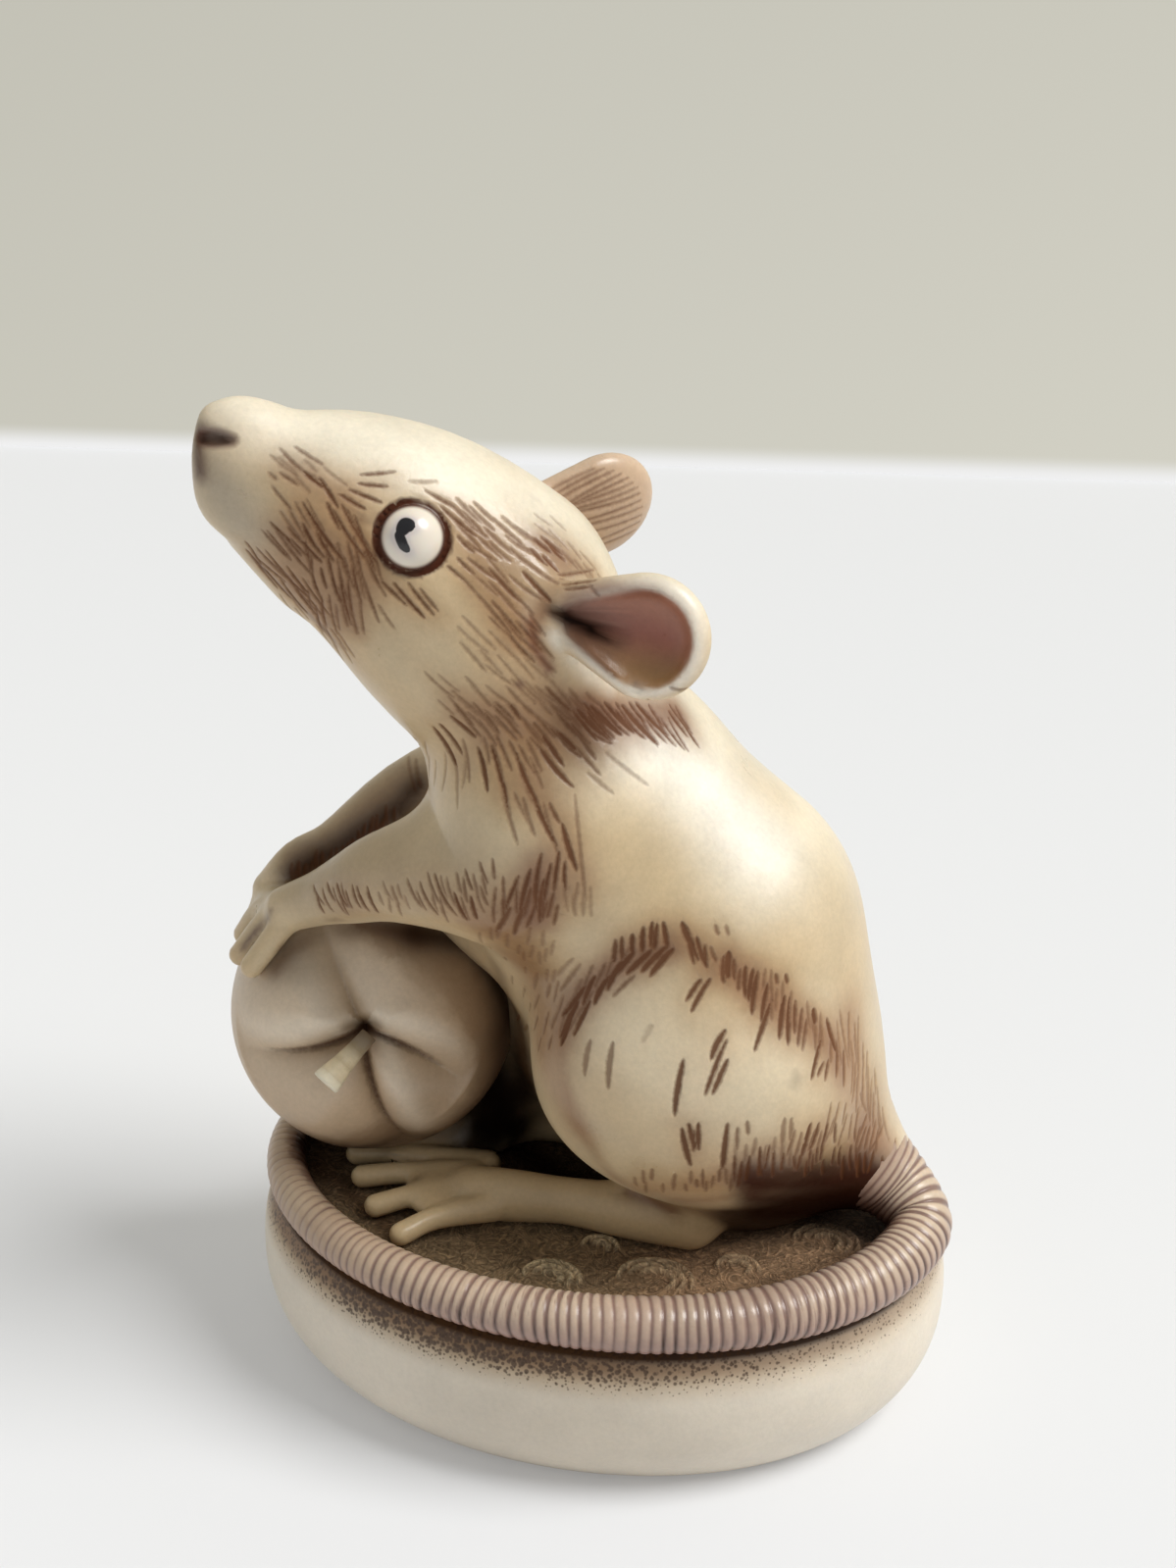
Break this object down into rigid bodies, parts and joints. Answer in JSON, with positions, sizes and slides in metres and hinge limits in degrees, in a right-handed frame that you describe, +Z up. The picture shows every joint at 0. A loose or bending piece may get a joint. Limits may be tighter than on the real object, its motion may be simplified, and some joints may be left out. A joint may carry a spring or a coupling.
{
  "type": "mouse figurine",
  "caption": "Small cast figurine of a mouse that sits on an oval base and hugs a round fruit, its tail laid as a ring round the rim of the base.",
  "frame": {"origin": "centre of the oval base on its flat underside", "axes": "+Z up; the mouse faces -X and holds the fruit there; -Y is its left side; X runs along the base"},
  "size_m": [0.0514, 0.037, 0.0705],
  "materials": {
    "cast_resin": "cast resin with marble dust, waxed satin, brown stain in the carving"
  },
  "bodies": {
    "root": {"mouse_figurine": "cast_resin"}
  },
  "joints": []
}
